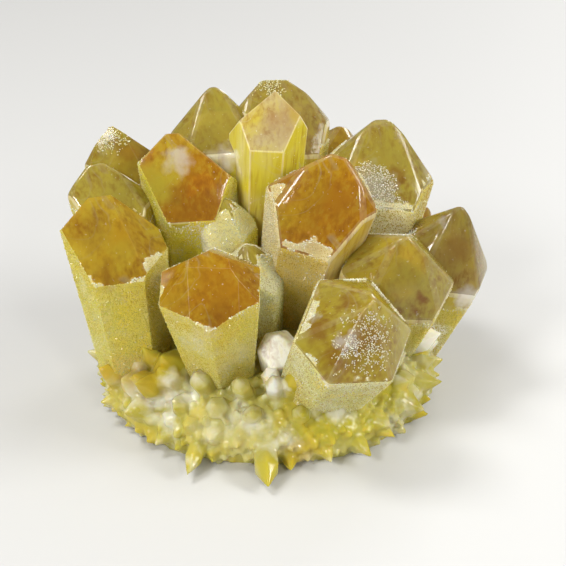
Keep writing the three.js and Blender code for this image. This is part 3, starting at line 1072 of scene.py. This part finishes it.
def clear_colour(finish, local, body):
    """Bare quartz: fibres along the crystal, thin veils and a few white flecks that are painted
    glints.
    """
    inputs = {"Vector": local, "Scale": (1, 1, 0.1)}
    stretched = add_node(finish.tree, "ShaderNodeMapping", inputs).outputs[0]
    fibres = finish.noise(stretched, 850, roughness=0.55, distortion=0.25)
    where = finish.range(finish.noise(local, 110, detail=2), 0.28, 0.6)
    dark = finish.math("MULTIPLY", finish.range(fibres, 0.46, 0.68, 0, 0.6), where)
    light = finish.math("MULTIPLY", finish.range(fibres, 0.47, 0.34, 0, 0.4), where)
    streaked = finish.mix(light, finish.mix(dark, body, "rust"), "lemon")
    fold = finish.noise(local, 75, detail=2, roughness=0.4, distortion=0.8)
    beside = finish.math("ABSOLUTE", finish.math("SUBTRACT", fold, 0.52))
    veil = finish.math("MULTIPLY", finish.range(beside, 0, 0.014, 0.5, 0), where)
    # White flecks: painted glints on the caps.
    painted_cap_glints = finish.range(finish.noise(finish.place, 1300, detail=2), 0.69, 0.74, 0, 0.5)
    return finish.mix(painted_cap_glints, finish.mix(veil, streaked, "pale"), "sugar"), fibres


def cloudy_colour(finish, body, milk):
    """Quartz under the druse and in the base: sunny patches and milky drifts."""
    drifts = finish.noise(finish.place, 120, detail=4, distortion=0.3)
    sunny = finish.mix(finish.range(drifts, 0.46, 0.36, 0, 0.5), body, "honey")
    least = finish.math("MAXIMUM", milk, 0.25)
    whiter = finish.math("MULTIPLY", finish.range(drifts, 0.48, 0.68, 0, 0.65), least)
    return finish.mix(whiter, sunny, "milky")


def quartz_finish():
    """Amber caps with fibres and zones inside, over cloudier sides and a milky yellow base."""
    finish = Finish("quartz_finish")
    local = finish.carried("local", "Vector")
    milk = finish.carried("milk")
    reach = druse_reach(finish.tree, finish.carried("crust"), finish.place)
    under = finish.range(reach, -0.3 * MM, 0.3 * MM)
    zones = finish.range(finish.noise(local, 60, detail=2, distortion=0.6), 0.42, 0.60)
    body = finish.mix(zones, finish.carried("shade", "Color"), finish.carried("glow", "Color"))
    crusted = finish.mix(under, body, finish.carried("grains", "Color"))
    bare, fibres = clear_colour(finish, local, body)
    cloudy = cloudy_colour(finish, crusted, milk)
    glass = finish.math("MULTIPLY", finish.carried("clear"), finish.range(under, 0, 1, 1, 0.4))
    clouds = finish.noise(finish.place, 110, detail=5, roughness=0.6)
    rough = finish.math("ADD", finish.range(clouds, 0.3, 0.8, 0.05, 0.16),
                        finish.range(under, 0, 1, 0, 0.2))
    ripples = finish.math("MULTIPLY", fibres, 0.15)
    waves = finish.math("ADD", finish.noise(finish.place, 240), ripples)
    bump = add_node(finish.tree, "ShaderNodeBump",
                    {"Strength": 0.3, "Distance": 0.3 * MM, "Height": waves})
    colour = finish.mix(finish.math("MAXIMUM", under, milk), bare, cloudy)
    finish.set(Base_Color=finish.stain(colour, STAINS), Transmission_Weight=glass, Roughness=rough,
               Normal=bump.outputs[0], IOR=QUARTZ_IOR, Specular_IOR_Level=0.12,
               Subsurface_Weight=0.45, Subsurface_Radius=(1.0, 0.7, 0.25),
               Subsurface_Scale=2.5 * MM)
    absorb = add_node(finish.tree, "ShaderNodeVolumeAbsorption",
                      {"Color": (0.93, 0.70, 0.22, 1), "Density": 50.0})
    fill(finish.tree, finish.tree.nodes["Material Output"].inputs["Volume"], absorb.outputs[0])
    return finish.material


def druse_finish():
    """Sugary quartz grains, tinted by the crystal under them, whiter at the druse's edge, and
    speckled with painted glints and painted shade.
    """
    finish = Finish("druse_finish")
    glitter = finish.carried("glitter")
    patches = finish.noise(finish.place, 130, detail=4, roughness=0.6)
    specks = finish.noise(finish.place, 2600, detail=1)
    warm = finish.range(finish.noise(finish.place, 85), 0.48, 0.62, 0, 0.5)
    warmer = finish.mix(warm, finish.carried("grains", "Color"), "amber")
    mottled = finish.mix(finish.range(patches, 0.50, 0.64, 0, 0.4), warmer, "sugar")
    body = finish.mix(finish.carried("frost"), mottled, "sugar")
    # Painted sparkle: dark grains are painted shade, in the rust colour, and bright grains are
    # painted glints, in milky white; both grow with the crystal's sparkle value.
    dark = finish.math("MULTIPLY", finish.range(specks, 0.54, 0.64, 0, 0.7),
                       finish.range(glitter, 0.2, 1))
    painted_grain_glints = finish.math("ADD", finish.range(specks, 0.32, 0.28, 0, 0.5),
                         finish.math("MULTIPLY", finish.range(specks, 0.46, 0.38, 0, 0.5), glitter))
    sparkling = finish.mix(painted_grain_glints, finish.mix(dark, body, "rust"), "milky")
    near_edge = finish.range(finish.carried("rim"), 0, 1.2 * MM, 0.75, 0)
    colour = finish.mix(near_edge, sparkling, "sugar")
    finish.set(Base_Color=finish.stain(colour, DRUSE_STAINS),
               Roughness=finish.range(specks, 0.3, 0.7, 0.08, 0.3), IOR=QUARTZ_IOR,
               Transmission_Weight=0.15, Subsurface_Weight=0.7,
               Subsurface_Radius=(1.0, 0.7, 0.3), Subsurface_Scale=0.9 * MM)
    return finish.material


def floor_finish():
    finish = Finish("floor_finish")
    speckle = finish.range(finish.noise(finish.place, 400), 0, 1, 0, 0.06)
    pale = finish.mix(speckle, (0.55, 0.55, 0.54), (0.48, 0.48, 0.47))
    finish.set(Base_Color=pale, Roughness=0.6)
    return finish.material


# ---------------------------------------------------------------- stage
# Each light's name, place, size and power, all aimed at the middle of the cluster.
LIGHTS = [
    ("key", (-0.44, -0.57, 0.58), 0.22, 4.24),
    ("front_low", (-0.42, -0.78, 0.13), 0.25, 1.76),
    ("front_fill", (0.276, -0.72, 0.50), 0.12, 1.28),
    ("right", (0.756, -0.246, 0.46), 0.25, 3.52),
    ("right_high", (0.72, -0.06, 0.64), 0.3, 2.56),
    ("top_left", (-0.44, 0.04, 0.88), 0.3, 4.96),
    ("back_right", (0.35, 0.75, 0.42), 0.3, 2.4),
]
LIGHTS_AIM = Vector((0, 0, 0.04))
WORLD_TINT = (1, 0.96, 0.9, 1)
WORLD_LIGHT = 0.32
FLOOR_SIZE = 3
PICTURE_SIDE = 566
FOCAL_PIXELS = 1550
FOOT_PIXEL = (268, 388)        # where the cluster's foot, before its shift, meets the picture
SENSOR = 36


def add_light(name, place, size, power):
    deselect()
    bpy.ops.object.light_add(type="AREA", location=place)
    light = bpy.context.object
    light.name = name
    light.data.size = size
    light.data.energy = power
    light.rotation_euler = (LIGHTS_AIM - Vector(place)).to_track_quat("-Z", "Y").to_euler()


class QUARTZ_OT_stage(bpy.types.Operator):
    """Lay the floor, and set the lights, the world and the camera"""

    bl_idname = "quartz.stage"
    bl_label = "Stage"

    def execute(self, context):
        deselect()
        bpy.ops.mesh.primitive_plane_add(size=FLOOR_SIZE)
        floor = bpy.context.object
        floor.name = "floor"
        floor.data.materials.append(floor_finish())
        for light in LIGHTS:
            add_light(*light)
        world = bpy.data.worlds.new("studio")
        world.use_nodes = True
        background = world.node_tree.nodes["Background"]
        background.inputs["Color"].default_value = WORLD_TINT
        background.inputs["Strength"].default_value = WORLD_LIGHT
        context.scene.world = world
        self.place_camera(context)
        context.scene.view_settings.view_transform = "Standard"
        return {"FINISHED"}

    def place_camera(self, context):
        rise = sizes().camera_rise
        distance = sizes().camera_distance
        right = Vector((1, 0, 0))
        up = Vector((0, math.sin(rise), math.cos(rise)))
        back = Vector((0, -math.cos(rise), math.sin(rise)))
        across = (FOOT_PIXEL[0] - PICTURE_SIDE / 2) / FOCAL_PIXELS * distance
        down = (FOOT_PIXEL[1] - PICTURE_SIDE / 2) / FOCAL_PIXELS * distance
        place = MIDDLE_SHIFT * MM + back * distance - right * across + up * down
        bpy.ops.object.camera_add(location=place, rotation=(math.pi / 2 - rise, 0, 0))
        camera = context.object
        camera.name = "camera"
        camera.data.sensor_width = SENSOR
        camera.data.lens = FOCAL_PIXELS / PICTURE_SIDE * SENSOR
        camera.data.clip_start = 0.01
        context.scene.camera = camera


# ---------------------------------------------------------------- panel and registration
class QUARTZ_PT_panel(bpy.types.Panel):
    """The cluster's sizes, colours and steps"""

    bl_label = "Quartz Cluster"
    bl_idname = "QUARTZ_PT_panel"
    bl_space_type = "VIEW_3D"
    bl_region_type = "UI"
    bl_category = "Quartz"

    def draw(self, context):
        layout = self.layout
        for group in (context.scene.quartz_sizes, context.scene.quartz_colours):
            for name in group.bl_rna.properties.keys():
                if name not in ("rna_type", "name"):
                    layout.prop(group, name)
        for step in STEPS:
            layout.operator(step.bl_idname)


STEPS = (QUARTZ_OT_crystals, QUARTZ_OT_druse, QUARTZ_OT_stage)
CLASSES = (QuartzSizes, QuartzColours, *STEPS, QUARTZ_PT_panel)


def register():
    for cls in CLASSES:
        bpy.utils.register_class(cls)
    bpy.types.Scene.quartz_sizes = bpy.props.PointerProperty(type=QuartzSizes)
    bpy.types.Scene.quartz_colours = bpy.props.PointerProperty(type=QuartzColours)


def unregister():
    del bpy.types.Scene.quartz_colours
    del bpy.types.Scene.quartz_sizes
    for cls in reversed(CLASSES):
        bpy.utils.unregister_class(cls)


def main():
    register()
    bpy.ops.quartz.crystals()
    bpy.ops.quartz.druse()
    bpy.ops.quartz.stage()


if __name__ == "__main__":
    main()
